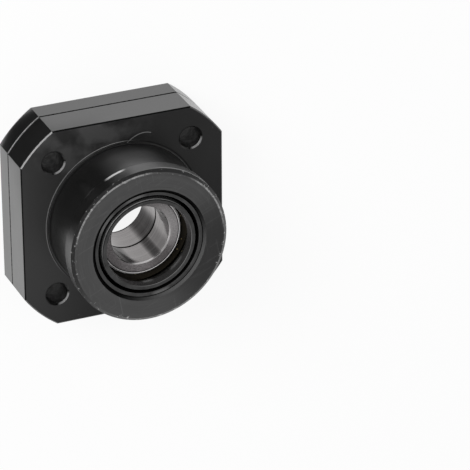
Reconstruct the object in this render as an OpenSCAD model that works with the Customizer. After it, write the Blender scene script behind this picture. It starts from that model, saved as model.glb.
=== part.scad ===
// Ball screw end support, flanged fixed-side type, for a 15 mm screw journal.
// A square flange with a round snout holds a duplex pair of angular contact
// bearings. A lid clamps them from the back, and a lip seal closes the front.
// Frame: +Z along the bore towards the snout, origin at the centre of the
// lid's back face, X and Y across the flats of the flange. Millimetres.

/* [Flange] */
// Width of the flange and lid across the flats
flange_w = 52; // [50:0.5:56]
// Diameter of the circle that the four corners are turned to
corner_d = 63; // [60:0.5:68]
// Thickness of the housing's own flange
flange_t = 9; // [8:0.5:12]
// Thickness of the lid, which is also the depth of the holes for the bolt heads
lid_t = 6; // [5.5:0.25:7.5]
// Chamfer on the outer edges of the flange and the lid
edge_chamfer = 0.3; // [0.1:0.05:0.6]

/* [Snout] */
// Diameter of the snout, fitted at its front land
snout_d = 40; // [39:0.5:42]
// Length of the fitted land, from the relief to the nose chamfer
land_l = 3.7; // [3:0.1:5]
// Depth of the relief behind the land
relief_h = 0.8; // [0.6:0.05:0.9]
// Radius of the fillet between the relief and the flange face
relief_fillet = 0.5; // [0.45:0.05:0.7]
// Radius of the arc in which the relief runs out to the land
relief_runout = 2; // [1.2:0.2:3]
// Width of the nose chamfer across the face
nose_chamfer_w = 0.8; // [0.3:0.1:1.2]
// Length of the nose chamfer along the axis
nose_chamfer_l = 0.5; // [0.2:0.1:1]
// Thickness of the web between the front bearing and the seal
web_t = 1.45; // [1:0.05:2.5]
// Width of the shoulder that the web gives the seal to sit on
web_step = 0.75; // [0.5:0.05:1.2]

/* [Mounting holes] */
// Pitch circle of the four mounting holes
bolt_pcd = 50; // [48:0.5:52]
// Diameter of the mounting holes in the housing
bolt_hole_d = 5.5; // [4.5:0.25:6.5]
// Diameter of the holes in the lid that take the bolt heads
head_hole_d = 9.5; // [8:0.25:10.5]
// Chamfer on the rims of the mounting holes
hole_chamfer = 0.35; // [0.1:0.05:0.6]

/* [Bearings] */
// Diameter of the screw journal, and of the inner rings' bore
shaft_d = 15; // [14:0.25:16]
// Outer diameter of the bearings
bearing_od = 32; // [30:0.5:34]
// Width of one bearing
bearing_w = 9; // [8:0.25:11]
// Diameter of a ball
ball_d = 4.762; // [4.4:0.05:5.2]
// Least width of the cage's bars between the balls, round the pitch circle
cage_bar = 1.2; // [1.1:0.1:1.6]
// Contact angle of the bearings
contact_angle = 30; // [15:5:40]
// Groove radius as a share of the ball diameter
groove_ratio = 0.53; // [0.52:0.005:0.55]
// Height of a ring's high shoulder above the bottom of its groove
high_shoulder = 1.13; // [0.9:0.05:1.3]
// Height of a ring's low shoulder above the bottom of its groove
low_shoulder = 0.6; // [0.4:0.05:0.8]
// Corner chamfer of the bearing rings
ring_chamfer = 0.4; // [0.2:0.05:0.6]
// Chamfer inside the outer rings' relieved ends
relieved_chamfer = 0.2; // [0.1:0.05:0.4]
// Chamfer at the ends of the inner rings' bores
bore_chamfer = 0.3; // [0.15:0.05:0.45]
// Preload gap between the faces of the two inner rings
preload_gap = 0.03; // [0.01:0.01:0.06]
// Distance of the cage's ends from the faces of its bearing
cage_inset = 1.2; // [0.8:0.1:1.4]
// Height of the lid's spigot, which holds the outer rings
spigot_h = 2; // [1.5:0.1:3]
// Chamfer at the back of the lid's opening
opening_chamfer = 0.4; // [0.2:0.1:0.8]
// Chamfer at the end of the spigot
spigot_chamfer = 0.2; // [0.1:0.05:0.4]
// Chamfer at the mouth of the bearing bore
lead_in = 0.4; // [0.2:0.1:0.8]

/* [Seal] */
// Diameter of the collar on the journal, on which the lips run
collar_d = 22; // [21:0.25:23]
// Radial height of the seal, from the collar to its pocket
seal_section = 3; // [2.8:0.1:3.5]
// Width of the seal
seal_w = 4; // [3.6:0.1:4.4]
// Depth of the seal's face below the snout's face
seal_recess = 0.55; // [0.4:0.05:0.7]
// Wall of the lip, out to the open groove in the seal's face
lip_wall = 1.2; // [1:0.05:1.4]
// Width of the open groove between the lip and the seal's outer wall
seal_groove_w = 0.85; // [0.6:0.05:1]
// Depth of the open groove
seal_groove_h = 1.8; // [1.2:0.1:2.2]
// Radial bite of the lip's mouth on the collar
mouth_bite = 0.15; // [0.05:0.05:0.25]
// Radial bite of the sealing edge on the collar
edge_bite = 0.35; // [0.25:0.05:0.45]
// Depth of the sealing edge below the seal's face
lip_edge_h = 2; // [1.6:0.1:2.4]
// Radial clearance of the seal's inner end round the collar
seal_back_gap = 0.4; // [0.2:0.05:0.6]
// Thickness of the steel insert in the seal
insert_t = 0.5; // [0.3:0.05:0.55]
// Rubber over the outside of the steel insert
insert_cover = 0.25; // [0.2:0.05:0.35]
// Rubber over the steel insert at the seal's face
insert_face_cover = 1; // [0.6:0.1:1.4]
// Rounding of the seal's edges
seal_round = 0.3; // [0.15:0.05:0.4]
// Chamfer at the mouth of the seal pocket
pocket_chamfer = 0.6; // [0.3:0.05:0.8]

/* [Lid screws] */
// Thread diameter of a lid screw
screw_d = 3; // [2.5:0.5:3.5]
// Length of a lid screw under its head
screw_l = 8; // [6:0.5:8.5]
// Diameter of a screw head
screw_head_d = 5.5; // [5:0.25:6]
// Height of a screw head
screw_head_h = 3; // [2.5:0.25:3.25]
// Chamfer round the top of a screw head
screw_head_chamfer = 0.25; // [0.1:0.05:0.4]
// Chamfer at the end of a screw
screw_tip_chamfer = 0.4; // [0.2:0.1:0.6]
// Size of the hexagon socket across the flats
socket_w = 2.5; // [1.5:0.25:3]
// Depth of the hexagon socket
socket_h = 1.4; // [1:0.1:1.8]
// Depth of a screw head below the lid's back face
screw_recess = 0.3; // [0.1:0.1:0.6]
// Length of tapped hole left past the screw's end
tap_spare = 1.2; // [0.8:0.1:1.5]
// Angle of the drill's cone at the bottom of a tapped hole, to the flat
drill_angle = 30; // [20:5:45]

/* [Clearances] */
// Radial clearance of the outer rings in the housing
bearing_fit = 0.01; // [0.01:0.005:0.03]
// Radial clearance of the seal in its pocket
seal_fit = 0.01; // [0.01:0.005:0.03]
// Radial clearance of the lid's spigot in the bearing bore
spigot_fit = 0.04; // [0.02:0.01:0.1]
// Clearance between the balls and their grooves
race_gap = 0.03; // [0.02:0.01:0.05]
// Radial clearance between the cage and the rings
cage_gap = 0.35; // [0.25:0.05:0.5]
// Clearance of a ball in its cage pocket
pocket_gap = 0.1; // [0.05:0.01:0.15]
// Radial clearance of a screw in its tapped hole
thread_fit = 0.02; // [0.01:0.01:0.05]
// Radial clearance of a screw in the lid
screw_gap = 0.2; // [0.1:0.05:0.4]
// Radial clearance round a screw head
head_gap = 0.35; // [0.2:0.05:0.5]

/* [Hidden] */

$fn = 96;
// Overshoot of a cutting tool past the face that it opens
cut = 1;

// Heights along the axis, counted from the lid's back face. The housing is as
// deep as the spigot, the two bearings, the web and the seal need.
seam_z = lid_t;
face_z = seam_z + flange_t;
pair_back_z = seam_z + spigot_h;
pair_mid_z = pair_back_z + bearing_w;
pair_front_z = pair_mid_z + bearing_w;
seal_z = pair_front_z + web_t;
nose_z = seal_z + seal_w + seal_recess;

// The snout's profile above the flange face
snout_l = nose_z - face_z;
snout_r = snout_d / 2;
relief_bottom_r = snout_r - relief_h;
land_front_h = snout_l - nose_chamfer_l;
land_back_h = land_front_h - land_l;
relief_end_h = land_back_h - sqrt(2 * relief_runout * relief_h - relief_h * relief_h);

// The bearings' rings
pitch_r = (shaft_d + bearing_od) / 4;
ball_r = ball_d / 2;
ball_count = floor(2 * PI * pitch_r / (ball_d + cage_bar));
ball_angles = [for (i = [0 : ball_count - 1]) i * 360 / ball_count];
outer_high_r = pitch_r + ball_r - high_shoulder;
outer_low_r = pitch_r + ball_r - low_shoulder;
inner_high_r = pitch_r - ball_r + high_shoulder;
inner_low_r = pitch_r - ball_r + low_shoulder;
groove_r = groove_ratio * ball_d;
// A groove's centre lies this far from the ball's, along the contact line
groove_shift = groove_r - ball_r - race_gap;
bearing_bore_r = bearing_od / 2 + bearing_fit;

// The seal
seal_r = collar_d / 2 + seal_section;
pocket_r = seal_r + seal_fit;
web_r = seal_r - web_step;
mouth_r = collar_d / 2 - mouth_bite;
lip_r = mouth_r + lip_wall;
groove_out_r = lip_r + seal_groove_w;

bolt_r = bolt_pcd / 2;
bolt_angles = [45, 135, 225, 315];
// The lid screws stand in the middle of the wall round the bearing bore
screw_r = (flange_w + bearing_od) / 4;
screw_angles = [0, 90, 180, 270];
screw_seat_z = screw_recess + screw_head_h;

// ---------------------------------------------------------------- helpers

// Rectangle with its four corners cut off, standing on y = 0
module chamfered_section(w, h, c) {
    polygon([[-w / 2, c], [-w / 2 + c, 0], [w / 2 - c, 0], [w / 2, c],
             [w / 2, h - c], [w / 2 - c, h], [-w / 2 + c, h], [-w / 2, h - c]]);
}

// Square plate with its corners turned to a circle and all its edges chamfered
module plate(t) {
    intersection() {
        rotate([90, 0, 0])
            linear_extrude(height = 2 * flange_w, center = true)
                chamfered_section(flange_w, t, edge_chamfer);
        rotate([90, 0, 90])
            linear_extrude(height = 2 * flange_w, center = true)
                chamfered_section(flange_w, t, edge_chamfer);
        rotate_extrude()
            intersection() {
                chamfered_section(corner_d, t, edge_chamfer);
                square([corner_d, t]);
            }
    }
}

// Tapped hole from z = 0 upwards, with the drill's cone at its end
module tapped_hole(depth) {
    tap_r = screw_d / 2 + thread_fit;
    translate([0, 0, -cut])
        cylinder(r = tap_r, h = depth + cut);
    translate([0, 0, depth])
        cylinder(r1 = tap_r, r2 = 0, h = tap_r * tan(drill_angle));
}

// Copies the children to the given angles on a circle of radius r
module around(r, angles) {
    for (a = angles)
        rotate([0, 0, a])
            translate([r, 0, 0])
                children();
}

// Straight hole from z0 to z1 with a chamfered rim at either end or both
module rimmed_hole(d, z0, z1, rim0, rim1) {
    translate([0, 0, z0 - cut])
        cylinder(d = d, h = z1 - z0 + 2 * cut);
    if (rim0 > 0)
        translate([0, 0, z0 - cut])
            cylinder(d1 = d + 2 * (rim0 + cut), d2 = d, h = rim0 + cut);
    if (rim1 > 0)
        translate([0, 0, z1 - rim1])
            cylinder(d1 = d, d2 = d + 2 * (rim1 + cut), h = rim1 + cut);
}

// ---------------------------------------------------------------- housing

// Half section of the relief that is turned behind the land, from the flange
// face at y = 0. Its fillet bites into the face, with its edge on the snout's
// own circle, and it runs out to the land in an arc.
module relief_section() {
    fillet_h = sqrt(relief_fillet * relief_fillet
                    - (relief_h - relief_fillet) * (relief_h - relief_fillet));
    translate([relief_bottom_r + relief_fillet, fillet_h])
        circle(r = relief_fillet);
    translate([relief_bottom_r, fillet_h])
        square([relief_h + cut, relief_end_h - fillet_h]);
    intersection() {
        translate([relief_bottom_r + relief_runout, relief_end_h])
            circle(r = relief_runout);
        translate([relief_bottom_r, relief_end_h - cut])
            square([relief_h + cut, relief_runout + 2 * cut]);
    }
}

// Turned snout, rooted inside the flange
module snout() {
    root_h = flange_t / 2;
    translate([0, 0, face_z])
        rotate_extrude()
            polygon([[0, -root_h], [snout_r, -root_h],
                     [snout_r, land_front_h],
                     [snout_r - nose_chamfer_w, snout_l], [0, snout_l]]);
}

module housing() {
    color("#4a4b4d")
    difference() {
        union() {
            translate([0, 0, seam_z])
                plate(flange_t);
            snout();
        }
        translate([0, 0, face_z])
            rotate_extrude()
                relief_section();
        // Bore for the outer rings, with a lead-in at its mouth
        translate([0, 0, seam_z - cut])
            cylinder(r = bearing_bore_r, h = pair_front_z - seam_z + cut);
        translate([0, 0, seam_z - cut])
            cylinder(r1 = bearing_bore_r + lead_in + cut, r2 = bearing_bore_r,
                     h = lead_in + cut);
        // Opening in the web that the front bearing stands against
        translate([0, 0, pair_front_z - cut])
            cylinder(r = web_r, h = web_t + 2 * cut);
        // Pocket for the seal, with a chamfered mouth
        translate([0, 0, seal_z])
            cylinder(r = pocket_r, h = nose_z - seal_z + cut);
        translate([0, 0, nose_z - pocket_chamfer])
            cylinder(r1 = pocket_r, r2 = pocket_r + pocket_chamfer + cut,
                     h = pocket_chamfer + cut);
        around(bolt_r, bolt_angles)
            rimmed_hole(bolt_hole_d, seam_z, face_z, hole_chamfer, hole_chamfer);
        around(screw_r, screw_angles)
            translate([0, 0, seam_z])
                tapped_hole(screw_seat_z + screw_l + tap_spare - seam_z);
    }
}

// -------------------------------------------------------------------- lid

module lid() {
    spigot_r = bearing_od / 2 - spigot_fit;
    color("#55565a")
    difference() {
        union() {
            plate(lid_t);
            // Spigot that centres the lid and holds the outer rings
            rotate_extrude()
                polygon([[0, edge_chamfer], [spigot_r, edge_chamfer],
                         [spigot_r, pair_back_z - spigot_chamfer],
                         [spigot_r - spigot_chamfer, pair_back_z],
                         [0, pair_back_z]]);
        }
        // Opening for the nut that clamps the inner rings
        rimmed_hole(2 * web_r, 0, pair_back_z, opening_chamfer, 0);
        around(bolt_r, bolt_angles)
            rimmed_hole(head_hole_d, 0, seam_z, hole_chamfer, 0);
        around(screw_r, screw_angles) {
            rimmed_hole(screw_d + 2 * screw_gap, 0, seam_z, 0, 0);
            translate([0, 0, -cut])
                cylinder(r = screw_head_d / 2 + head_gap, h = screw_seat_z + cut);
        }
    }
}

// Socket head cap screw, its head downwards, seated at z = 0
module cap_screw() {
    head_r = screw_head_d / 2;
    shank_r = screw_d / 2;
    difference() {
        rotate_extrude()
            polygon([[0, -screw_head_h],
                     [head_r - screw_head_chamfer, -screw_head_h],
                     [head_r, -screw_head_h + screw_head_chamfer],
                     [head_r, 0], [shank_r, 0],
                     [shank_r, screw_l - screw_tip_chamfer],
                     [shank_r - screw_tip_chamfer, screw_l], [0, screw_l]]);
        translate([0, 0, -screw_head_h - cut])
            cylinder(d = socket_w / cos(30), h = socket_h + cut, $fn = 6);
    }
}

module lid_screws() {
    color("#303134")
    around(screw_r, screw_angles)
        translate([0, 0, screw_seat_z])
            cap_screw();
}

// ------------------------------------------------------------------- seal

// Steel insert's half section. z = 0 is the seal's inner end and z = seal_w
// is its face.
module insert_section() {
    leg_r = seal_r - insert_cover;
    translate([leg_r - insert_t, 0])
        square([insert_t, seal_w - insert_face_cover]);
    translate([lip_r, 0])
        square([leg_r - lip_r, insert_t]);
}

// Rubber's half section: outer wall, open groove, and the lip with its edge
module rubber_section() {
    floor_h = seal_w - seal_groove_h;
    round_h = seal_w - seal_round;
    difference() {
        union() {
            // Outer wall with rounded rims
            translate([groove_out_r, 0])
                square([seal_r - groove_out_r, round_h]);
            translate([groove_out_r + seal_round, 0])
                square([seal_r - groove_out_r - 2 * seal_round, seal_w]);
            translate([groove_out_r + seal_round, round_h])
                circle(r = seal_round);
            translate([seal_r - seal_round, round_h])
                circle(r = seal_round);
            // Floor of the groove and the lip
            polygon([[collar_d / 2 + seal_back_gap, 0], [groove_out_r, 0],
                     [groove_out_r, floor_h], [lip_r, floor_h],
                     [lip_r, round_h], [lip_r - seal_round, seal_w],
                     [mouth_r, seal_w],
                     [collar_d / 2 - edge_bite, seal_w - lip_edge_h]]);
            translate([lip_r - seal_round, round_h])
                circle(r = seal_round);
        }
        insert_section();
    }
}

module seal_rubber() {
    color("#3c3d3e")
    translate([0, 0, seal_z])
        rotate_extrude()
            rubber_section();
}

module seal_insert() {
    color("#9a9c9e")
    translate([0, 0, seal_z])
        rotate_extrude()
            insert_section();
}

// --------------------------------------------------------------- bearings

// One bearing lies between y = 0, its face at the middle of the pair, and
// y = bearing_w, its outer face. The pair is back to back: the outer rings'
// high shoulders meet in the middle and the inner rings' stand at the ends.
module outer_section() {
    mid = bearing_w / 2;
    out_r = bearing_od / 2;
    difference() {
        polygon([[outer_high_r, 0], [out_r - ring_chamfer, 0],
                 [out_r, ring_chamfer], [out_r, bearing_w - ring_chamfer],
                 [out_r - ring_chamfer, bearing_w],
                 [outer_low_r + relieved_chamfer, bearing_w],
                 [outer_low_r, bearing_w - relieved_chamfer],
                 [outer_low_r, mid], [outer_high_r, mid]]);
        translate([pitch_r - groove_shift * cos(contact_angle),
                   mid + groove_shift * sin(contact_angle)])
            circle(r = groove_r);
    }
}

module inner_section() {
    mid = bearing_w / 2;
    start_h = preload_gap / 2;
    bore_r = shaft_d / 2;
    difference() {
        polygon([[bore_r, start_h + bore_chamfer],
                 [bore_r + bore_chamfer, start_h],
                 [inner_low_r - ring_chamfer, start_h],
                 [inner_low_r, start_h + ring_chamfer],
                 [inner_low_r, mid], [inner_high_r, mid],
                 [inner_high_r, bearing_w - ring_chamfer],
                 [inner_high_r - ring_chamfer, bearing_w],
                 [bore_r + bore_chamfer, bearing_w],
                 [bore_r, bearing_w - bore_chamfer]]);
        translate([pitch_r + groove_shift * cos(contact_angle),
                   mid - groove_shift * sin(contact_angle)])
            circle(r = groove_r);
    }
}

// Machined cage: a ring with a round pocket for each ball
module cage() {
    in_r = inner_high_r + cage_gap;
    out_r = outer_high_r - cage_gap;
    cage_w = bearing_w - 2 * cage_inset;
    difference() {
        translate([0, 0, cage_inset])
            cylinder(r = out_r, h = cage_w);
        translate([0, 0, cage_inset - cut])
            cylinder(r = in_r, h = cage_w + 2 * cut);
        around(0, ball_angles)
            translate([0, 0, bearing_w / 2])
                rotate([0, 90, 0])
                    cylinder(r = ball_r + pocket_gap, h = out_r + cut);
    }
}

module balls() {
    around(pitch_r, ball_angles)
        translate([0, 0, bearing_w / 2])
            sphere(r = ball_r);
}

// Places a part of the front bearing
module in_front() {
    translate([0, 0, pair_mid_z])
        children();
}

// Places a part of the rear bearing, turned to face the other way
module in_rear() {
    translate([0, 0, pair_mid_z])
        rotate([180, 0, 0])
            children();
}

module front_outer_ring() {
    color("#b9bbbd")
    in_front()
        rotate_extrude()
            outer_section();
}

module front_inner_ring() {
    color("#d2d2d0")
    in_front()
        rotate_extrude()
            inner_section();
}

module front_cage() {
    color("#5a4526")
    in_front()
        cage();
}

module front_balls() {
    color("#d9dadb")
    in_front()
        balls();
}

module rear_outer_ring() {
    color("#b9bbbd")
    in_rear()
        rotate_extrude()
            outer_section();
}

module rear_inner_ring() {
    color("#d2d2d0")
    in_rear()
        rotate_extrude()
            inner_section();
}

module rear_cage() {
    color("#5a4526")
    in_rear()
        cage();
}

module rear_balls() {
    color("#d9dadb")
    in_rear()
        balls();
}

housing();
lid();
lid_screws();
seal_rubber();
seal_insert();
front_outer_ring();
front_inner_ring();
front_cage();
front_balls();
rear_outer_ring();
rear_inner_ring();
rear_cage();
rear_balls();
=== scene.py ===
import math

import bmesh
import bpy
from bpy.props import FloatProperty, FloatVectorProperty, PointerProperty
from mathutils import Color, Matrix, Vector

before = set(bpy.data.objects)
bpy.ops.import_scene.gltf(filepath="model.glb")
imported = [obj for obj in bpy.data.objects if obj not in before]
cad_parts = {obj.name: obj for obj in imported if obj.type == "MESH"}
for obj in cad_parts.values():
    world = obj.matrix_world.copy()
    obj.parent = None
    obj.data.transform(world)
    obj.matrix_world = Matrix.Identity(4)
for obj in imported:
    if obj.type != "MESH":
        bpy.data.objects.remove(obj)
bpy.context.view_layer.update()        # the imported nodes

bl_info = {
    "name": "Ball screw end support",
    "version": (1, 0, 0),
    "blender": (4, 5, 0),
    "location": "3D View > Sidebar > End support",
    "description": "Finishes and studio for a flanged ball screw end support",
    "category": "Object",
}

MM = 0.001

# Heights of the part, in millimetres, where finishes change
SEAM_Z = 6.0             # joint of the lid and the flange
RING_BACK_Z = 8.0        # rear end of the pair of inner rings
FACE_Z = 15.0            # front face of the flange
PAIR_Z = 17.0            # joint of the two inner rings
RING_FRONT_Z = 26.0      # front end of the pair
LAND_Z = 27.8            # rear edge of the raised land round the snout
LIP_EDGE_Z = 29.45       # sealing edge of the lip
SEAL_FACE_Z = 31.45      # front face of the seal
NOSE_Z = 32.0            # nose face, the front of the whole part

# Radii and half widths of the part, in millimetres
BORE_R = 7.5             # bore of the inner rings
RING_FACE_R = 10.1       # where an inner ring's face meets its corner
MOUTH_R = 10.85          # mouth of the seal's lip
LIP_R = 12.05            # outside of the lip, where the groove begins
GROOVE_R = 12.9          # outside of the groove
POCKET_R = 14.0          # pocket of the seal in the nose
NOSE_FACE_R = 19.2       # where the nose face meets its chamfer
SNOUT_R = 20.0           # raised land round the snout
FLANGE_HALF = 26.0       # flat sides of the flange and the lid
ARC_R = 31.5             # turned corners of the flange and the lid
OUTSIDE_R = 40.0         # past every corner
HOLE_R = 2.75            # mounting holes of the flange
HEAD_HOLE_R = 4.75       # holes of the lid for those screws' heads
HOLE_XY = 25 / math.sqrt(2)      # x and y of the mounting holes' axes

# Stains, oil and bloom all lie in patches with this ragged edge
RAGGED = {"Detail": 4.0, "Roughness": 0.55}

# The fine curved scratch above the snout: y = a + b x + c x^2, in millimetres
SCRATCH_CURVE = (18.195, 1.147, -0.1027)

# The studio, in millimetres save for the lamp, which is in metres
FLOOR_Z = -0.05
FLOOR_GLOW = 0.9         # share of the floor's white that no shadow dims
CARD_Z = -0.02
CARD_CORNERS = ((-18.5, 26.5), (-26.5, 18.5), (-33, 10), (-36, -2), (-70, -10), (-70, 70),
                (2, 70), (0, 38), (-14, 36))
LAMP_AIM = (0, 0, 0.015)     # the middle of the part
LAMP_WAY = (-0.65, 0.52, 0.55)
LAMP_DISTANCE = 0.9
LAMP_WIDTH = 0.42
CAMERA_PLACE = (-263.98, 374.86, 702.04)
# The camera's right, its up and its back
CAMERA_AXES = ((0.91918, -0.00262, 0.39383), (0.18296, 0.88836, -0.42111),
               (-0.34876, 0.45913, 0.81705))


def linear(code):
    """Turns an sRGB hex colour into the linear colour that a shader takes."""
    out = []
    for i in (1, 3, 5):
        c = int(code[i:i + 2], 16) / 255
        out.append(c / 12.92 if c <= 0.04045 else ((c + 0.055) / 1.055) ** 2.4)
    return (*out, 1.0)


def add(tree, kind, inputs=None, **settings):
    """Adds one node, with its settings, its values and its links."""
    node = tree.nodes.new(kind)
    for key, value in settings.items():
        setattr(node, key, value)
    for key, value in (inputs or {}).items():
        if isinstance(value, bpy.types.NodeSocket):
            tree.links.new(value, node.inputs[key])
        elif isinstance(value, Color):
            node.inputs[key].default_value = (*value, 1)
        else:
            node.inputs[key].default_value = value
    return node


# --------------------------------------------------- places and marks on the part


def both(tree, *masks):
    """One mask, where all the given ones hold. A number weakens it."""
    out = masks[0]
    for mask in masks[1:]:
        out = add(tree, "ShaderNodeMath", {0: out, 1: mask}, operation="MULTIPLY").outputs[0]
    return out


def either(tree, *masks):
    """One mask, where any of the given ones holds."""
    out = masks[0]
    for mask in masks[1:]:
        out = add(tree, "ShaderNodeMath", {0: out, 1: mask}, operation="MAXIMUM").outputs[0]
    return out


def between(tree, value, low, high, soft):
    """Mask that is 1 from low to high, and fades out over soft at both ends."""
    rise = add(tree, "ShaderNodeMapRange", {0: value, 1: low - soft, 2: low},
               interpolation_type="SMOOTHSTEP").outputs[0]
    fall = add(tree, "ShaderNodeMapRange", {0: value, 1: high, 2: high + soft, 3: 1.0, 4: 0.0},
               interpolation_type="SMOOTHSTEP").outputs[0]
    return both(tree, rise, fall)


def sectors(tree, at, *spans):
    """Mask round the bore's axis. Each span is an angle in degrees, how far to
    each side of it the mask fades out, and its strength where that isn't 1.
    Seen from the nose, an angle of 0 is to the right and one of 90 is up."""
    masks = []
    for angle, half_width, *strength in spans:
        a = math.radians(angle)
        along = add(tree, "ShaderNodeVectorMath",
                    {0: at["spoke"], 1: (math.cos(a), math.sin(a), 0)},
                    operation="DOT_PRODUCT").outputs["Value"]
        masks.append(add(tree, "ShaderNodeMapRange",
                         {0: along, 1: math.cos(math.radians(half_width)), 2: 1.0,
                          4: strength[0] if strength else 1.0},
                         interpolation_type="SMOOTHSTEP").outputs[0])
    return either(tree, *masks)


def coated(tree, ground, *coats):
    """A ground colour with coats laid over it in turn. Each coat is a mask of
    where it lies and its colour."""
    for mask, colour in coats:
        ground = add(tree, "ShaderNodeMix", {0: mask, 6: ground, 7: colour},
                     data_type="RGBA").outputs[2]
    return ground


def place(tree):
    """Where a point lies on the part, in millimetres from Object coordinates,
    and which way the surface looks there. up is 1 on flat faces and 0 on the
    sides, and towards is the x and y of that way. spoke points away from the
    bore's axis."""
    coords = add(tree, "ShaderNodeTexCoord")
    mm = add(tree, "ShaderNodeVectorMath", {0: coords.outputs["Object"], "Scale": 1 / MM},
             operation="SCALE").outputs[0]
    xyz = add(tree, "ShaderNodeSeparateXYZ", {0: mm})
    flat = add(tree, "ShaderNodeCombineXYZ", {0: xyz.outputs[0], 1: xyz.outputs[1]}).outputs[0]
    normal = add(tree, "ShaderNodeSeparateXYZ",
                 {0: add(tree, "ShaderNodeNewGeometry").outputs["True Normal"]})
    return {
        "mm": mm,
        "x": xyz.outputs[0],
        "y": xyz.outputs[1],
        "z": xyz.outputs[2],
        "r": add(tree, "ShaderNodeVectorMath", {0: flat}, operation="LENGTH").outputs["Value"],
        "spoke": add(tree, "ShaderNodeVectorMath", {0: flat}, operation="NORMALIZE").outputs[0],
        "up": add(tree, "ShaderNodeMath", {0: normal.outputs[2]}, operation="ABSOLUTE").outputs[0],
        "towards": (normal.outputs[0], normal.outputs[1]),
    }


def near_holes(tree, at):
    """Distance in millimetres from the axis of the nearest mounting hole."""
    folded = add(tree, "ShaderNodeVectorMath", {0: at["mm"]}, operation="ABSOLUTE").outputs[0]
    away = add(tree, "ShaderNodeVectorMath", {0: folded, 1: (HOLE_XY, HOLE_XY, 0)},
               operation="SUBTRACT").outputs[0]
    flat = add(tree, "ShaderNodeVectorMath", {0: away, 1: (1, 1, 0)},
               operation="MULTIPLY").outputs[0]
    return add(tree, "ShaderNodeVectorMath", {0: flat}, operation="LENGTH").outputs["Value"]


def cut_lines(tree, at, pitch, stretch, facing):
    """Fine tool lines: along the sides and round them where facing is 0, in
    rings round the bore where it is 1. pitch, in millimetres, is their spacing,
    and stretch how far one runs before it changes."""
    side = add(tree, "ShaderNodeMath", {0: at["z"], 1: 1 / pitch}, operation="MULTIPLY").outputs[0]
    ring = add(tree, "ShaderNodeMath", {0: at["r"], 1: 1 / pitch}, operation="MULTIPLY").outputs[0]
    across = add(tree, "ShaderNodeMix", {0: facing, 2: side, 3: ring}).outputs[0]
    x = add(tree, "ShaderNodeMath", {0: at["x"], 1: 1 / stretch}, operation="MULTIPLY").outputs[0]
    y = add(tree, "ShaderNodeMath", {0: at["y"], 1: 1 / stretch}, operation="MULTIPLY").outputs[0]
    vector = add(tree, "ShaderNodeCombineXYZ", {0: x, 1: y, 2: across}).outputs[0]
    return add(tree, "ShaderNodeTexNoise",
               {"Vector": vector, "Scale": 1.0, "Detail": 3.0, "Roughness": 0.6}).outputs[0]


def scratch(tree, at, curve, start, end, width):
    """Mask along the curve y = a + b x + c x^2, between two values of x, in mm."""
    a, b, c = curve
    slope = add(tree, "ShaderNodeMath", {0: at["x"], 1: c, 2: b},
                operation="MULTIPLY_ADD").outputs[0]
    y = add(tree, "ShaderNodeMath", {0: at["x"], 1: slope, 2: a},
            operation="MULTIPLY_ADD").outputs[0]
    off = add(tree, "ShaderNodeMath", {0: at["y"], 1: y}, operation="SUBTRACT").outputs[0]
    return both(tree, between(tree, off, -width / 2, width / 2, width / 2),
                between(tree, at["x"], start, end, 0.2))


def hairlines(tree, at, angle, spacing, cutoff):
    """Sparse, thin, straight scratches across the bore's axis, at an angle in
    degrees and about spacing mm apart. The higher cutoff is, from 0 to 1, the
    fewer of them show."""
    turned = add(tree, "ShaderNodeMapping",
                 {0: at["mm"], "Rotation": (0, 0, math.radians(angle)),
                  "Scale": (spacing * 60, spacing, 50.0)}, vector_type="TEXTURE")
    field = add(tree, "ShaderNodeTexNoise",
                {"Vector": turned.outputs[0], "Scale": 1.0, "Detail": 1.0}).outputs[0]
    return add(tree, "ShaderNodeMapRange", {0: field, 1: cutoff, 2: cutoff + 0.04},
               interpolation_type="SMOOTHSTEP").outputs[0]


def dust(tree, at, spacing, size):
    """Small round specks, size mm across, about spacing mm apart, in one fifth
    of the places that have room for one."""
    cells = add(tree, "ShaderNodeTexVoronoi", {"Vector": at["mm"], "Scale": 1 / spacing})
    dot = between(tree, cells.outputs["Distance"], -1.0, size / spacing / 4, size / spacing / 4)
    pick = add(tree, "ShaderNodeSeparateColor", {0: cells.outputs["Color"]}).outputs[0]
    return both(tree, dot, between(tree, pick, 0.8, 2.0, 0.02))


def seen_rays(tree):
    """Mask of the rays that reach the eye straight, off metal or through glass."""
    rays = add(tree, "ShaderNodeLightPath")
    return either(tree, rays.outputs["Is Camera Ray"], rays.outputs["Is Glossy Ray"],
                  rays.outputs["Is Transmission Ray"])


# ------------------------------------------------------------------ finishes


def new_material(name):
    """A material with an empty node tree and its output node."""
    mat = bpy.data.materials.new(name)
    mat.use_nodes = True
    mat.node_tree.nodes.clear()
    out = add(mat.node_tree, "ShaderNodeOutputMaterial")
    return mat, mat.node_tree, out


def finish_with(tree, out, height, depth, **sockets):
    """Ends a material in one Principled shader, with a bump of depth mm."""
    inputs = {key.replace("_", " "): value for key, value in sockets.items()}
    inputs["Normal"] = add(tree, "ShaderNodeBump",
                           {"Strength": 1.0, "Distance": depth * MM, "Height": height}).outputs[0]
    shader = add(tree, "ShaderNodeBsdfPrincipled", inputs)
    tree.links.new(shader.outputs[0], out.inputs[0])


def dress(material, *names):
    """Gives CAD nodes a material."""
    for name in names:
        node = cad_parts[name]
        node.data.materials.clear()
        node.data.materials.append(material)


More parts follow.
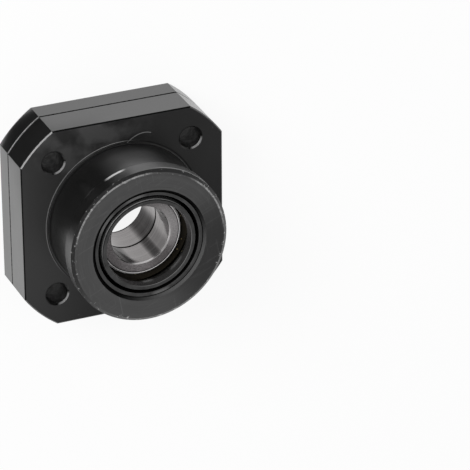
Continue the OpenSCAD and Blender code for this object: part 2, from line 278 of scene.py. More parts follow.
def housing_zones(tree, at):
    """Adds masks of the housing's and the lid's own surfaces to at."""
    at["facing"] = between(tree, at["up"], 0.96, 1.1, 0.02)
    at["bevel"] = between(tree, at["up"], 0.5, 0.9, 0.05)
    at["side"] = between(tree, at["up"], -0.1, 0.2, 0.05)
    at["turned"] = both(tree, at["side"],
                        between(tree, at["r"], SNOUT_R - 2.0, SNOUT_R + 0.5, 0.1))
    at["nose"] = both(tree, at["facing"], between(tree, at["z"], NOSE_Z - 0.2, NOSE_Z + 1, 0.1))
    # 0 on the flat sides, and up to a half on the turned corners and the holes
    skew = add(tree, "ShaderNodeMath", {0: at["towards"][0], 1: at["towards"][1]},
               operation="MULTIPLY").outputs[0]
    at["skew"] = add(tree, "ShaderNodeMath", {0: skew}, operation="ABSOLUTE").outputs[0]
    at["arcs"] = both(tree, between(tree, at["skew"], 0.3, 1.0, 0.05),
                      between(tree, at["r"], ARC_R - 0.3, ARC_R + 1.5, 0.1))
    hole_r = near_holes(tree, at)
    at["holes"] = both(tree, at["side"], between(tree, hole_r, -1.0, HEAD_HOLE_R + 0.1, 0.05))
    at["hole_rims"] = both(tree, at["bevel"], between(tree, hole_r, -1.0, HOLE_R + 0.55, 0.1))
    at["pocket_rim"] = both(tree, at["bevel"],
                            between(tree, at["r"], POCKET_R - 0.05, POCKET_R + 0.7, 0.05),
                            between(tree, at["z"], NOSE_Z - 0.7, NOSE_Z - 0.02, 0.02))
    # The lower right of the pocket's rim gets painted light, and the rest painted shade
    at["low"] = sectors(tree, at, (315, 85))


def rubbed_grey_and_painted_light(tree, at, lines, clouds):
    """Mask of the nose face, rubbed grey, and of painted light on the flange,
    the snout and the pocket's rim.
    """
    # The nose face, greyed less towards its right
    dry = add(tree, "ShaderNodeMapRange",
              {0: sectors(tree, at, (342, 62)), 3: 1.0, 4: 0.25}).outputs[0]
    grain = add(tree, "ShaderNodeMapRange", {0: lines, 3: 0.5, 4: 1.3}).outputs[0]
    nose = both(tree, at["nose"], dry, grain)
    # Painted light on the flange's face, at its left and above the snout's foot
    patchy = add(tree, "ShaderNodeMapRange", {0: clouds, 1: 0.4, 2: 0.6}).outputs[0]
    film_and_painted_light = both(tree, at["facing"], between(tree, at["z"], FACE_Z - 0.2, FACE_Z + 0.2, 0.1),
                either(tree, both(tree, sectors(tree, at, (112, 45)), patchy),
                       sectors(tree, at, (180, 75, 0.6))))
    # Painted light on the left side of the flange and the lid
    left = add(tree, "ShaderNodeMapRange", {0: at["towards"][0], 1: -0.9, 2: -0.98}).outputs[0]
    flank = both(tree, at["side"], between(tree, at["r"], FLANGE_HALF - 0.2, OUTSIDE_R, 0.2), left)
    # A painted sheen along the relieved part of the snout, and painted light on two stretches of
    # its land
    sheen = both(tree, at["turned"], sectors(tree, at, (92, 28)),
                 between(tree, at["z"], 21.0, 26.3, 5.0))
    land = both(tree, at["side"], between(tree, at["r"], SNOUT_R - 0.1, SNOUT_R + 0.5, 0.05),
                sectors(tree, at, (60, 22), (195, 22)))
    return either(tree, both(tree, film_and_painted_light, 0.75), both(tree, flank, 0.75), nose,
                  both(tree, either(tree, sheen, land), 0.6),
                  both(tree, at["pocket_rim"], at["low"]))


def painted_shade_and_dark_joint(tree, at, specks):
    """Masks of the holes' walls, and of all the skin at its deepest black: oil
    in the lid's joint, and painted shade elsewhere."""
    # Painted shade on the walls of the holes, in patches about 1.5 mm wide
    patches = add(tree, "ShaderNodeTexNoise",
                  {"Vector": at["mm"], "Scale": 1 / 1.5, **RAGGED}).outputs[0]
    holes = both(tree, at["holes"],
                 add(tree, "ShaderNodeMapRange", {0: patches, 3: 1.2, 4: 0.4}).outputs[0])
    # The joint between the lid and the housing, out of which the oil has crept
    # unevenly
    crept = add(tree, "ShaderNodeMath", {0: specks, 1: 0.5, 2: at["z"]},
                operation="MULTIPLY_ADD").outputs[0]
    joint = both(tree, between(tree, crept, SEAM_Z + 0.08, SEAM_Z + 0.42, 0.06),
                 between(tree, at["r"], FLANGE_HALF - 0.5, OUTSIDE_R, 0.1))
    # Painted shade on the fillet at the snout's foot
    fillet = both(tree, between(tree, at["r"], SNOUT_R - 0.78, SNOUT_R - 0.25, 0.05),
                  between(tree, at["z"], FACE_Z + 0.02, FACE_Z + 0.5, 0.05))
    # Painted shade on the front edges of the flange, along its flat sides
    edges = both(tree, at["bevel"], between(tree, at["z"], FACE_Z - 0.4, FACE_Z - 0.02, 0.02),
                 between(tree, at["skew"], -0.1, 0.05, 0.03))
    # Painted shade down one side of the snout
    painted_shade_side = both(tree, at["turned"], sectors(tree, at, (136, 36)))
    # Painted shade also dims the holes' rims, and the pocket's rim save at its lower right
    high = add(tree, "ShaderNodeMath", {0: 1.0, 1: at["low"]}, operation="SUBTRACT").outputs[0]
    return holes, either(tree, holes, joint, both(tree, fillet, 0.7),
                         both(tree, at["hole_rims"], 0.5), both(tree, edges, 0.9),
                         both(tree, painted_shade_side, 0.35), both(tree, at["pocket_rim"], high))


def worn_and_painted_bright(tree, at, specks):
    """Masks of wear and of painted highlights and reflections along the edges,
    and of the painted highlight on the land's rear edge."""
    patches = add(tree, "ShaderNodeMapRange",
                  {0: specks, 1: 0.38, 2: 0.62, 3: 0.25, 4: 0.9}).outputs[0]
    # The rim of the nose face, partly worn and partly a painted highlight, and small chips round it
    rim = both(tree, between(tree, at["r"], NOSE_FACE_R - 0.22, NOSE_FACE_R + 0.05, 0.12),
               between(tree, at["z"], NOSE_Z - 0.15, NOSE_Z + 1, 0.1),
               sectors(tree, at, (112, 30), (150, 20), (30, 30)))
    chips = both(tree, between(tree, at["r"], NOSE_FACE_R - 0.4, SNOUT_R + 1, 0.1),
                 between(tree, at["z"], NOSE_Z - 0.6, NOSE_Z + 1, 0.1),
                 add(tree, "ShaderNodeMapRange", {0: specks, 1: 0.63, 2: 0.69}).outputs[0])
    # Painted highlight on the step round the snout's foot
    foot = both(tree, between(tree, at["r"], SNOUT_R - 0.06, SNOUT_R + 0.1, 0.05),
                between(tree, at["z"], FACE_Z - 0.6, FACE_Z + 0.3, 0.1),
                add(tree, "ShaderNodeMapRange", {0: specks, 3: 0.6, 4: 1.2}).outputs[0],
                sectors(tree, at, (108, 26), (150, 80, 0.6)))
    # Painted highlights on the front edge of the land, and on a short stretch of its rear edge
    crest = both(tree, between(tree, at["r"], SNOUT_R - 0.1, SNOUT_R + 0.1, 0.05),
                 between(tree, at["z"], NOSE_Z - 1.0, NOSE_Z - 0.65, 0.05),
                 sectors(tree, at, (40, 50)))
    painted_land_highlight = both(tree, between(tree, at["z"], LAND_Z - 0.35, LAND_Z + 0.65, 0.25),
                     sectors(tree, at, (111, 9)))
    # Painted highlights on one side of the holes' rims and on the bevels of the
    # upper left turned corner, and a painted reflection on the upper right one itself
    slope = add(tree, "ShaderNodeMath", {0: at["towards"][1], 1: at["towards"][0]},
                operation="SUBTRACT").outputs[0]
    rims = both(tree, at["hole_rims"], between(tree, slope, 0.9, 1.2, 0.25))
    arc_bevels = both(tree, at["bevel"], between(tree, at["skew"], 0.15, 0.5, 0.05),
                      between(tree, at["r"], ARC_R - 0.5, ARC_R + 1.5, 0.05),
                      sectors(tree, at, (138, 30)))
    arc = both(tree, at["arcs"], sectors(tree, at, (45, 40)))
    # One long scratch on the flange's face, hairlines on the nose, and dust
    long_mark = both(tree, scratch(tree, at, SCRATCH_CURVE, 1.4, 7.3, 0.13),
                     between(tree, at["z"], FACE_Z - 0.1, FACE_Z + 0.3, 0.1))
    fine_marks = both(tree, at["nose"], either(tree, hairlines(tree, at, 25, 0.14, 0.68),
                                               hairlines(tree, at, 100, 0.16, 0.70)))
    # Wear, together with all the painted highlights and reflections
    wear_and_painted_highlight = either(tree, both(tree, either(tree, rim, chips), patches), foot, painted_land_highlight, crest,
                  both(tree, rims, 0.6), both(tree, arc_bevels, 0.7), both(tree, arc, 0.45),
                  both(tree, long_mark, 0.35), both(tree, fine_marks, 0.1),
                  both(tree, dust(tree, at, 3.0, 0.25), 0.2))
    return wear_and_painted_highlight, painted_land_highlight


def blackened_steel(steel):
    """Mild steel, turned and milled, then hot blackened and oiled. The eye
    gets a near black skin with a soft sheen, fine tool lines, cloudy stains,
    metal rubbed bright in chips and scratches, and painted light, shade,
    highlights and reflections."""
    mat, tree, out = new_material("blackened steel, turned and milled")
    at = place(tree)
    housing_zones(tree, at)
    # Tool lines run on for about 25 mm, stains are about 7 mm wide, and the
    # specks in the wear under 1 mm
    lines = cut_lines(tree, at, steel.line_pitch / MM, 25.0, at["facing"])
    clouds = add(tree, "ShaderNodeTexNoise",
                 {"Vector": at["mm"], "Scale": 1 / 7.0, **RAGGED}).outputs[0]
    specks = add(tree, "ShaderNodeTexNoise", {"Vector": at["mm"], "Scale": 1 / 0.8, "Detail": 2.0,
                                              "Roughness": 0.7}).outputs[0]
    stain = both(tree, clouds,
                 add(tree, "ShaderNodeMapRange", {0: lines, 3: 0.7, 4: 1.3}).outputs[0])
    # Masks of the rubbed nose and painted light, of painted shade and the lid's joint, and of wear
    # and painted highlights
    grey = rubbed_grey_and_painted_light(tree, at, lines, clouds)
    holes, black = painted_shade_and_dark_joint(tree, at, specks)
    wear_and_painted_highlight, painted_land_highlight = worn_and_painted_bright(tree, at, specks)
    colour = coated(tree, steel.black, (stain, steel.grey), (grey, steel.rubbed),
                    (black, steel.black), (wear_and_painted_highlight, steel.wear_and_painted_highlight))
    # Turned surfaces come out smoother than milled ones, and the holes and the
    # pocket's rim are the roughest. Stains and tool lines vary them all.
    rough = add(tree, "ShaderNodeMix", {0: either(tree, at["turned"], at["arcs"]),
                                        2: steel.roughness, 3: steel.turned_roughness}).outputs[0]
    rough = add(tree, "ShaderNodeMix", {0: either(tree, holes, at["pocket_rim"]), 2: rough,
                                        3: steel.hole_roughness}).outputs[0]
    for pattern, swing in ((clouds, 0.04), (lines, 0.03)):
        change = add(tree, "ShaderNodeMapRange", {0: pattern, 3: -swing, 4: swing}).outputs[0]
        rough = add(tree, "ShaderNodeMath", {0: change, 1: rough}).outputs[0]
    # Worn metal and painted highlights mirror, save the painted highlight on
    # the land's rear edge, which is matt and looks pale from all sides. On the
    # painted shade and the lid's joint, metallic only takes the sheen away.
    off_edge = add(tree, "ShaderNodeMath", {0: 1.0, 1: painted_land_highlight}, operation="SUBTRACT").outputs[0]
    metal = either(tree, both(tree, wear_and_painted_highlight, 0.5, off_edge), black)
    # The skin is iron oxide and oil rather than metal, with an IOR of its own
    finish_with(tree, out, lines, 0.004, Base_Color=colour, Metallic=metal, Roughness=rough,
                IOR=2.0)
    return mat


def black_screw(steel):
    """Alloy steel cap screw, cold headed and blackened. The eye gets a shade
    more gloss than on the turned parts, and no tool lines."""
    mat, tree, out = new_material("blackened alloy steel screw")
    at = place(tree)
    # Stains about 1.5 mm wide, in a skin of oxide and oil as on the housing
    clouds = add(tree, "ShaderNodeTexNoise",
                 {"Vector": at["mm"], "Scale": 1 / 1.5, **RAGGED}).outputs[0]
    rough = add(tree, "ShaderNodeMapRange", {0: clouds, 3: 0.24, 4: 0.36}).outputs[0]
    finish_with(tree, out, clouds, 0.003,
                Base_Color=coated(tree, steel.black, (clouds, steel.grey)), Roughness=rough,
                IOR=1.6)
    return mat


def ground_steel(ring):
    """Hardened bearing steel, ground all over. The eye gets a bright bore with
    a smooth sheen, a face with a fine, dull grinding pattern, dark lines at
    the face's corner and the pair's joint, and painted light, shade,
    highlights and reflections on the faces, edges and bores."""
    mat, tree, out = new_material("ground bearing steel")
    at = place(tree)
    facing = between(tree, at["up"], 0.96, 1.1, 0.02)
    bevel = between(tree, at["up"], 0.5, 0.9, 0.05)
    front = either(tree, facing, bevel)
    bore = between(tree, at["r"], BORE_R - 0.5, BORE_R + 0.2, 0.1)
    bore_end = between(tree, at["r"], BORE_R - 0.5, BORE_R + 0.5, 0.1)

    # Short grinding scratches, about 0.1 mm apart, run out from the bore over
    # the faces. The bores are honed in rings.
    turn = add(tree, "ShaderNodeVectorMath", {0: at["spoke"], "Scale": 110.0},
               operation="SCALE").outputs[0]
    outwards = add(tree, "ShaderNodeCombineXYZ", {2: at["r"]}).outputs[0]
    depth = add(tree, "ShaderNodeVectorMath", {0: outwards, "Scale": 3.0},
                operation="SCALE").outputs[0]
    vector = add(tree, "ShaderNodeVectorMath", {0: turn, 1: depth}, operation="ADD").outputs[0]
    scratches = add(tree, "ShaderNodeTexNoise",
                    {"Vector": vector, "Scale": 1.0, "Detail": 4.0, "Roughness": 0.8}).outputs[0]
    honed = cut_lines(tree, at, 0.12, 20.0, facing)
    pattern = add(tree, "ShaderNodeMix", {0: facing, 2: honed, 3: scratches}).outputs[0]
    tone = add(tree, "ShaderNodeMapRange", {0: pattern, 1: 0.4, 2: 0.6}).outputs[0]
    soft_tone = add(tree, "ShaderNodeMapRange", {0: tone, 3: 0.25, 4: 0.5}).outputs[0]
    # Painted light and shade: the faces are brighter at one side and darker at another
    face = coated(tree, ring.face, (tone, ring.dull),
                  (sectors(tree, at, (25, 70, 0.3)), ring.edge),
                  (sectors(tree, at, (310, 30, 0.5)), ring.dull))

    # Painted highlights on the corner outside the face, and on one side of
    # the front edge of the bore
    corner = both(tree, between(tree, at["r"], RING_FACE_R - 0.15, RING_FACE_R + 0.6, 0.05), front)
    mouth = both(tree, bevel, bore_end,
                 between(tree, at["z"], RING_FRONT_Z - 0.6, RING_FRONT_Z + 1.0, 0.1),
                 sectors(tree, at, (290, 100)))
    painted_edge_highlights = either(tree, corner, both(tree, mouth, 0.6))

    # A dark line where the face meets its corner
    line = both(tree, facing,
                between(tree, at["r"], RING_FACE_R - 0.38, RING_FACE_R - 0.25, 0.05))
    # Painted reflections: long dark bands down the bores, at fixed angles round them
    in_front = between(tree, at["z"], PAIR_Z, NOSE_Z, 0.05)
    behind = add(tree, "ShaderNodeMath", {0: 1.0, 1: in_front}, operation="SUBTRACT").outputs[0]
    painted_bore_reflections = either(
        tree, both(tree, in_front, sectors(tree, at, (305, 14), (324, 20, 0.5), (240, 22))),
        both(tree, behind, sectors(tree, at, (314, 20), (330, 26))))
    streaks = add(tree, "ShaderNodeMapRange", {0: honed, 3: 0.6, 4: 1.2}).outputs[0]
    # Oil that stays in the joint of the pair, and painted shade at the rear end of the bore
    ends = either(tree, both(tree, bevel, bore_end,
                             between(tree, at["z"], PAIR_Z - 0.5, PAIR_Z + 0.5, 0.05)),
                  both(tree, bore_end,
                       between(tree, at["z"], RING_BACK_Z - 0.5, RING_BACK_Z + 0.7, 0.1)))
    # Dark lines, the pair's oil, and the painted reflections and shade
    oil = either(tree, line, both(tree, bore, painted_bore_reflections, streaks), ends)

    colour = coated(tree, ring.bright, (soft_tone, ring.dull), (front, face),
                    (painted_edge_highlights, ring.edge), (oil, ring.oil))
    rough = add(tree, "ShaderNodeMix", {0: front, 2: ring.bore_roughness,
                                        3: ring.face_roughness}).outputs[0]
    # The dull faces scatter light, and the painted highlights on the edges are
    # matt too; both look paler than a mirror would
    dull = add(tree, "ShaderNodeMapRange", {0: front, 3: 1.0, 4: 0.4}).outputs[0]
    pale = add(tree, "ShaderNodeMapRange", {0: painted_edge_highlights, 3: 1.0, 4: 0.2}).outputs[0]
    finish_with(tree, out, pattern, 0.002, Base_Color=colour, Metallic=both(tree, dull, pale),
                Roughness=rough)
    return mat


def ball_steel(ring):
    """Lapped chrome steel. The eye gets a mirror with a greasy trace."""
    mat, tree, out = new_material("lapped chrome steel ball")
    at = place(tree)
    # The grease lies in patches about 1.2 mm wide
    film_and_painted_light = add(tree, "ShaderNodeTexNoise",
               {"Vector": at["mm"], "Scale": 1 / 1.2, **RAGGED}).outputs[0]
    rough = add(tree, "ShaderNodeMapRange", {0: film_and_painted_light, 3: 0.04, 4: 0.14}).outputs[0]
    finish_with(tree, out, film_and_painted_light, 0.0005, Base_Color=coated(tree, ring.bright, (film_and_painted_light, ring.dull)),
                Metallic=1.0, Roughness=rough)
    return mat


def cage_resin(cage):
    """Cotton laminate in phenolic resin, turned. The eye gets a dark brown
    body, wet with oil, with a fine cloth speckle and dry, frayed threads."""
    mat, tree, out = new_material("turned cotton laminate")
    at = place(tree)
    # The cloth's cells are a third of a millimetre wide, and the oil lies in
    # patches about 2 mm wide
    weave = add(tree, "ShaderNodeTexVoronoi", {"Vector": at["mm"], "Scale": 3.0}).outputs[0]
    patches = add(tree, "ShaderNodeTexNoise",
                  {"Vector": at["mm"], "Scale": 1 / 2.0, **RAGGED}).outputs[0]
    colour = coated(tree, cage.light, (both(tree, weave, patches), cage.dark),
                    (dust(tree, at, 1.0, 0.45), cage.fibre))
    rough = add(tree, "ShaderNodeMapRange", {0: weave, 3: 0.4, 4: 0.6}).outputs[0]
    finish_with(tree, out, weave, 0.01, Base_Color=colour, Roughness=rough, IOR=1.55)
    return mat


def seal_rubber(seal):
    """Moulded nitrile rubber. The eye gets soft black with a satin bloom and
    fine mould rings, painted shade in its groove, oil towards the lip, and
    painted highlights and reflections on its ring, its edges and the lip."""
    mat, tree, out = new_material("moulded nitrile rubber")
    at = place(tree)
    facing = between(tree, at["up"], 0.5, 1.1, 0.2)
    # The wall of the lip's mouth
    wall = both(tree, between(tree, at["up"], -0.1, 0.6, 0.1),
                between(tree, at["r"], 0.0, MOUTH_R + 0.55, 0.1))
    rings = cut_lines(tree, at, 0.18, 30.0, facing)
    # The bloom lies in patches about 2.5 mm wide
    bloom = add(tree, "ShaderNodeTexNoise",
                {"Vector": at["mm"], "Scale": 1 / 2.5, **RAGGED}).outputs[0]

    # Painted highlights round the outer ring, and painted reflections on the
    # lip's wall, whose rest is painted shade
    painted_seal_highlights = both(tree, between(tree, at["r"], POCKET_R - 0.8, POCKET_R - 0.3, 0.2),
                 sectors(tree, at, (105, 14), (145, 16), (282, 12)))
    lip = both(tree, wall, between(tree, at["z"], LIP_EDGE_Z - 0.35, LIP_EDGE_Z - 0.15, 1.2),
               sectors(tree, at, (271, 9), (316, 14, 0.7)))
    off_lip = add(tree, "ShaderNodeMath", {0: 1.0, 1: lip}, operation="SUBTRACT").outputs[0]
    painted_shade_wall = both(tree, wall, off_lip)
    # Painted highlights, as fine lines on the edges of the groove and of the mouth
    upper = sectors(tree, at, (115, 85))
    painted_rim_highlights = both(tree, facing, either(
        tree, both(tree, between(tree, at["r"], LIP_R - 0.12, LIP_R + 0.05, 0.05), upper),
        both(tree, between(tree, at["r"], MOUTH_R + 0.1, MOUTH_R + 0.2, 0.05),
             sectors(tree, at, (320, 80)))))
    # All the painted highlights and reflections on the rubber
    painted_rubber_highlight = either(tree, both(tree, painted_seal_highlights, 0.5), both(tree, lip, 0.6), painted_rim_highlights)
    # Painted shade in the groove, in the corner against the housing, and
    # along the inside of the painted highlight at the lip's edge
    painted_rubber_shade = either(tree, both(tree, between(tree, at["r"], LIP_R + 0.05, GROOVE_R - 0.02, 0.06),
                             between(tree, at["z"], 0.0, SEAL_FACE_Z - 0.12, 0.08)),
                  between(tree, at["r"], POCKET_R - 0.22, POCKET_R + 0.2, 0.06),
                  both(tree, facing,
                       between(tree, at["r"], LIP_R - 0.37, LIP_R - 0.23, 0.05), upper))

    colour = coated(tree, seal.black, (bloom, seal.bloom), (painted_shade_wall, seal.black),
                    (painted_rubber_highlight, seal.painted_rubber_highlight), (painted_rubber_shade, seal.painted_rubber_shade))
    # Oil makes the lip smoother than the outer ring, and the painted shade is the roughest
    oil = between(tree, at["r"], 0.0, LIP_R + 0.15, 0.3)
    dry = add(tree, "ShaderNodeMapRange", {0: bloom, 3: 0.26, 4: 0.4}).outputs[0]
    rough = add(tree, "ShaderNodeMix", {0: oil, 2: dry, 3: seal.oiled_roughness}).outputs[0]
    rough = add(tree, "ShaderNodeMix", {0: painted_rubber_shade, 2: rough, 3: seal.painted_shade_roughness}).outputs[0]
    # Metallic only takes the sheen off the painted shade, whose tone is black
    finish_with(tree, out, rings, 0.004, Base_Color=colour, Metallic=painted_rubber_shade, Roughness=rough,
                IOR=1.6)
    return mat


def phosphated_steel(ring):
    """Cold drawn sheet steel with a phosphate coat, inside the seal. The eye
    gets an even, dull grey with a fine crystal grain."""
    mat, tree, out = new_material("phosphated sheet steel")
    at = place(tree)
    # The coat's grain is finer than a picture shows, and is drawn 0.3 mm wide
    grain = add(tree, "ShaderNodeTexNoise",
                {"Vector": at["mm"], "Scale": 1 / 0.3, **RAGGED}).outputs[0]
    rough = add(tree, "ShaderNodeMapRange", {0: grain, 3: 0.45, 4: 0.65}).outputs[0]
    finish_with(tree, out, grain, 0.004, Base_Color=coated(tree, ring.dull, (grain, ring.oil)),
                Metallic=0.7, Roughness=rough)
    return mat


# ---------------------------------------------------------------- properties


def colour_property(name, description, code):
    """A colour of the finishes, given as an sRGB hex value."""
    return FloatVectorProperty(name=name, description=description, subtype="COLOR", size=3,
                               min=0.0, max=1.0, default=linear(code)[:3])


class EndSupportSteel(bpy.types.PropertyGroup):
    """Finish of the housing, the lid and the screws"""
    black: colour_property("Black", "Deepest tone of the blackened skin", "#0d0d0d")
    grey: colour_property("Grey", "Cloudy, lighter tone of the blackened skin", "#1a1a1a")
    # Also the colour of the painted light on the flange, the snout and the pocket's rim
    rubbed: colour_property("Rubbed", "Tone of the nose face, where the skin has rubbed", "#484848")
    # Also the colour of the painted highlights and reflections
    wear_and_painted_highlight: colour_property("Bare", "Bare metal on the worn edges", "#c9c9c9")
    roughness: FloatProperty(name="Roughness", description="Roughness of the milled faces",
                             default=0.34, min=0.05, max=0.9, subtype="FACTOR")
    turned_roughness: FloatProperty(name="Turned roughness",
                                    description="Roughness of the snout and the corner arcs",
                                    default=0.33, min=0.05, max=0.9, subtype="FACTOR")
    hole_roughness: FloatProperty(name="Hole roughness",
                                  description="Roughness of the holes and the pocket's rim",
                                  default=0.6, min=0.05, max=0.9, subtype="FACTOR")
    line_pitch: FloatProperty(name="Line pitch", description="Spacing of the tool lines",
                              default=0.35 * MM, min=0.05 * MM, max=2 * MM, unit="LENGTH",
                              precision=5)


class EndSupportBearing(bpy.types.PropertyGroup):
    """Finish of the bearings' rings and balls, and of the seal's insert"""
    bright: colour_property("Bright", "Smooth ground steel", "#a5a2a2")
    # Also laid as painted shade on one side of the faces
    dull: colour_property("Dull", "Steel in the grinding scratches", "#565352")
    face: colour_property("Face", "Ground faces, dulled by handling", "#c0babc")
    # Also the colour of the painted highlights, and of painted light on one side of the faces
    edge: colour_property("Edge", "Polished corner of a ring", "#f4f2f2")
    # Also the colour of the painted reflections in the bores and the painted shade at their rear
    # end
    oil: colour_property("Oil", "Steel under a line of old oil", "#1e1c1c")
    bore_roughness: FloatProperty(name="Bore roughness", description="Roughness of the bores",
                                  default=0.16, min=0.02, max=0.8, subtype="FACTOR")
    face_roughness: FloatProperty(name="Face roughness", description="Roughness of the faces",
                                  default=0.5, min=0.02, max=0.8, subtype="FACTOR")


class EndSupportCage(bpy.types.PropertyGroup):
    """Finish of the cages"""
    light: colour_property("Light", "Threads of the laminate", "#302c25")
    dark: colour_property("Dark", "Resin between the threads", "#1a1610")
    fibre: colour_property("Fibre", "Frayed threads that lie dry on the surface", "#a2946c")


class EndSupportSeal(bpy.types.PropertyGroup):
    """Finish of the lip seal's rubber"""
    black: colour_property("Black", "Clean rubber", "#1c1c1c")
    bloom: colour_property("Bloom", "Rubber with a grey bloom", "#505050")
    # The colour of the painted highlights and reflections on the rubber
    painted_rubber_highlight: colour_property("Grease", "Rubber under a smear of grease", "#767676")
    # The colour of the painted shade in the groove and the corners
    painted_rubber_shade: colour_property("Dirt", "Dirt in the groove", "#0a0a0a")
    oiled_roughness: FloatProperty(name="Oiled roughness", description="Roughness of the oily lip",
                                   default=0.2, min=0.02, max=0.9, subtype="FACTOR")
    # Roughness where the shade is painted
    painted_shade_roughness: FloatProperty(name="Dirt roughness", description="Roughness of the dirt",
                                  default=0.8, min=0.02, max=1.0, subtype="FACTOR")


class EndSupportStudio(bpy.types.PropertyGroup):
    """Floor, light and camera"""
    lens: FloatProperty(name="Lens", description="Focal length on a 36 mm wide sensor",
                        default=260.8, min=20.0, max=600.0, unit="CAMERA")
    floor_size: FloatProperty(name="Floor size", description="Width of the floor",
                              default=8.0, min=0.5, max=20.0, unit="LENGTH")
    key_power: FloatProperty(name="Key power", description="Power of the main lamp",
                             default=5.0, min=0.0, max=500.0, unit="POWER")
    ambient: FloatProperty(name="Ambient", description="Light level that the room gives",
                           default=0.6, min=0.0, max=2.0)
    overhead: FloatProperty(name="Overhead", description="How white the room looks overhead",
                            default=0.14, min=0.0, max=1.0, subtype="FACTOR")
    white: colour_property("White", "Paint of the floor", "#f9f9f9")
    aged_white: colour_property("Aged white", "Paint of the floor where it has aged", "#f4f4f4")


# ----------------------------------------------------------------- operators


class EndSupportBodies(bpy.types.Operator):
    """Gives the housing and the lid their blackened finish"""
    bl_idname = "end_support.bodies"
    bl_label = "Housing and lid"

    def execute(self, context):
        dress(blackened_steel(context.scene.end_support_steel), "housing", "lid")
        return {"FINISHED"}


class EndSupportScrews(bpy.types.Operator):
    """Gives the four lid screws their finish"""
    bl_idname = "end_support.screws"
    bl_label = "Lid screws"

    def execute(self, context):
        dress(black_screw(context.scene.end_support_steel), "lid_screws")
        return {"FINISHED"}


class EndSupportBearings(bpy.types.Operator):
    """Gives the bearings' rings, balls and cages their finishes"""
    bl_idname = "end_support.bearings"
    bl_label = "Bearings"

    def execute(self, context):
        scene = context.scene
        dress(ground_steel(scene.end_support_bearing), "front_outer_ring", "front_inner_ring",
              "rear_outer_ring", "rear_inner_ring")
        dress(ball_steel(scene.end_support_bearing), "front_balls", "rear_balls")
        dress(cage_resin(scene.end_support_cage), "front_cage", "rear_cage")
        return {"FINISHED"}


class EndSupportSealParts(bpy.types.Operator):
    """Gives the lip seal's rubber and its steel insert their finishes"""
    bl_idname = "end_support.seal"
    bl_label = "Lip seal"

    def execute(self, context):
        scene = context.scene
        dress(seal_rubber(scene.end_support_seal), "seal_rubber")
        dress(phosphated_steel(scene.end_support_bearing), "seal_insert")
        return {"FINISHED"}


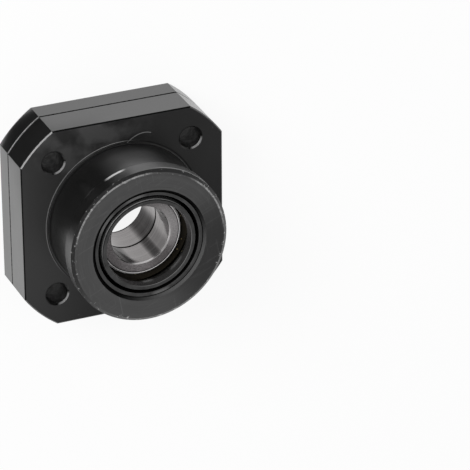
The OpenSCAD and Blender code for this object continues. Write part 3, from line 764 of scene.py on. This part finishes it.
class EndSupportStage(bpy.types.Operator):
    """Sets up the white floor, the black card, the room, the lamp and the camera"""
    bl_idname = "end_support.stage"
    bl_label = "Studio"

    def execute(self, context):
        studio = context.scene.end_support_studio
        self.floor(context, studio)
        self.card(context)
        self.room(context, studio)
        self.lamp(context, studio)
        self.camera(context, studio)
        context.scene.view_settings.view_transform = "Standard"
        return {"FINISHED"}

    def floor(self, context, studio):
        shape = bmesh.new()
        bmesh.ops.create_grid(shape, x_segments=1, y_segments=1, size=studio.floor_size / 2,
                              matrix=Matrix.Translation((0, 0, FLOOR_Z * MM)))
        floor = self.board(context, "floor", shape, self.painted_board(studio))

    def card(self, context):
        # A dark sheet that stands in for shade on the floor. It lies beside the
        # upper left corner, where the camera can't see it, for the corner arc and
        # the side of the snout to reflect
        shape = bmesh.new()
        shape.faces.new([shape.verts.new((x * MM, y * MM, CARD_Z * MM)) for x, y in CARD_CORNERS])
        card = self.board(context, "black card", shape, self.black_paper())
        card.visible_camera = False
        card.visible_diffuse = False
        card.visible_shadow = False

    def board(self, context, name, shape, material):
        """Makes a flat piece of the stage from a bmesh."""
        mesh = bpy.data.meshes.new(name)
        shape.to_mesh(mesh)
        shape.free()
        mesh.materials.append(material)
        board = bpy.data.objects.new(name, mesh)
        context.scene.collection.objects.link(board)
        return board

    def painted_board(self, studio):
        """White painted board. The eye gets an even white, as does metal, with
        a little of the object's soft shadow on it."""
        mat, tree, out = new_material("white painted board")
        at = place(tree)
        # The paint's own tone changes over about 400 mm
        clouds = add(tree, "ShaderNodeTexNoise",
                     {"Vector": at["mm"], "Scale": 1 / 400.0, **RAGGED}).outputs[0]
        paint = coated(tree, studio.white, (clouds, studio.aged_white))
        matt = add(tree, "ShaderNodeBsdfDiffuse", {"Color": paint}).outputs[0]
        glow = add(tree, "ShaderNodeEmission", {"Color": (1, 1, 1, 1), "Strength": 1.0}).outputs[0]
        share = both(tree, seen_rays(tree), FLOOR_GLOW)
        mix = add(tree, "ShaderNodeMixShader", {0: share, 1: matt, 2: glow}).outputs[0]
        tree.links.new(mix, out.inputs[0])
        return mat

    def black_paper(self):
        """Black paper. The eye gets an even, matt black."""
        mat, tree, out = new_material("black paper card")
        at = place(tree)
        # Its clouds are about 20 mm wide
        clouds = add(tree, "ShaderNodeTexNoise",
                     {"Vector": at["mm"], "Scale": 1 / 20.0, **RAGGED}).outputs[0]
        tone = coated(tree, linear("#262626"), (clouds, linear("#303030")))
        matt = add(tree, "ShaderNodeBsdfDiffuse", {"Color": tone}).outputs[0]
        tree.links.new(matt, out.inputs[0])
        return mat

    def room(self, context, studio):
        world = bpy.data.worlds.new("white room")
        context.scene.world = world
        world.use_nodes = True
        tree = world.node_tree
        tree.nodes.clear()
        # White round the horizon, so that no edge of the floor shows, and
        # dimmer overhead, which keeps the faces that look up dark
        way = add(tree, "ShaderNodeSeparateXYZ",
                  {0: add(tree, "ShaderNodeTexCoord").outputs["Generated"]}).outputs[2]
        sky = add(tree, "ShaderNodeMapRange",
                  {0: way, 1: 0.1, 2: 0.4, 3: 1.0, 4: studio.overhead},
                  interpolation_type="SMOOTHSTEP").outputs[0]
        level = add(tree, "ShaderNodeMix", {0: seen_rays(tree), 2: studio.ambient,
                                            3: sky}).outputs[0]
        back = add(tree, "ShaderNodeBackground", {"Color": (1, 1, 1, 1), "Strength": level})
        add(tree, "ShaderNodeOutputWorld", {"Surface": back.outputs[0]})

    def lamp(self, context, studio):
        data = bpy.data.lights.new("key lamp", "AREA")
        data.shape = "DISK"
        data.size = LAMP_WIDTH
        data.energy = studio.key_power
        lamp = bpy.data.objects.new("key lamp", data)
        context.scene.collection.objects.link(lamp)
        way = Vector(LAMP_WAY).normalized()
        lamp.location = Vector(LAMP_AIM) + way * LAMP_DISTANCE
        lamp.rotation_mode = "QUATERNION"
        lamp.rotation_quaternion = way.to_track_quat("Z", "Y")
        # Its mirror image on the oiled skin would hide the finish
        lamp.visible_glossy = False

    def camera(self, context, studio):
        data = bpy.data.cameras.new("camera")
        data.sensor_width = 36.0
        data.lens = studio.lens
        data.clip_start = 0.01
        data.clip_end = 50.0
        camera = bpy.data.objects.new("camera", data)
        context.scene.collection.objects.link(camera)
        turn = Matrix(CAMERA_AXES).transposed().to_4x4()
        camera.matrix_world = Matrix.Translation(Vector(CAMERA_PLACE) * MM) @ turn
        context.scene.camera = camera


class EndSupportPanel(bpy.types.Panel):
    """Lists the end support's settings, and the steps that use them"""
    bl_label = "End support"
    bl_idname = "VIEW3D_PT_end_support"
    bl_space_type = "VIEW_3D"
    bl_region_type = "UI"
    bl_category = "End support"

    def draw(self, context):
        for group, operators in PANEL_ROWS:
            box = self.layout.box()
            settings = getattr(context.scene, group)
            for key in GROUPS[group].__annotations__:
                box.prop(settings, key)
            for operator in operators:
                box.operator(operator.bl_idname)


GROUPS = {
    "end_support_steel": EndSupportSteel,
    "end_support_bearing": EndSupportBearing,
    "end_support_cage": EndSupportCage,
    "end_support_seal": EndSupportSeal,
    "end_support_studio": EndSupportStudio,
}
OPERATORS = (EndSupportBodies, EndSupportScrews, EndSupportBearings, EndSupportSealParts,
             EndSupportStage)
PANEL_ROWS = (
    ("end_support_steel", (EndSupportBodies, EndSupportScrews)),
    ("end_support_bearing", (EndSupportBearings,)),
    ("end_support_cage", ()),
    ("end_support_seal", (EndSupportSealParts,)),
    ("end_support_studio", (EndSupportStage,)),
)


def register():
    for cls in (*GROUPS.values(), *OPERATORS, EndSupportPanel):
        bpy.utils.register_class(cls)
    for name, cls in GROUPS.items():
        setattr(bpy.types.Scene, name, PointerProperty(type=cls))


def unregister():
    for name in GROUPS:
        delattr(bpy.types.Scene, name)
    for cls in reversed((*GROUPS.values(), *OPERATORS, EndSupportPanel)):
        bpy.utils.unregister_class(cls)


def main():
    register()
    bpy.ops.end_support.bodies()
    bpy.ops.end_support.screws()
    bpy.ops.end_support.bearings()
    bpy.ops.end_support.seal()
    bpy.ops.end_support.stage()


if __name__ == "__main__":
    main()
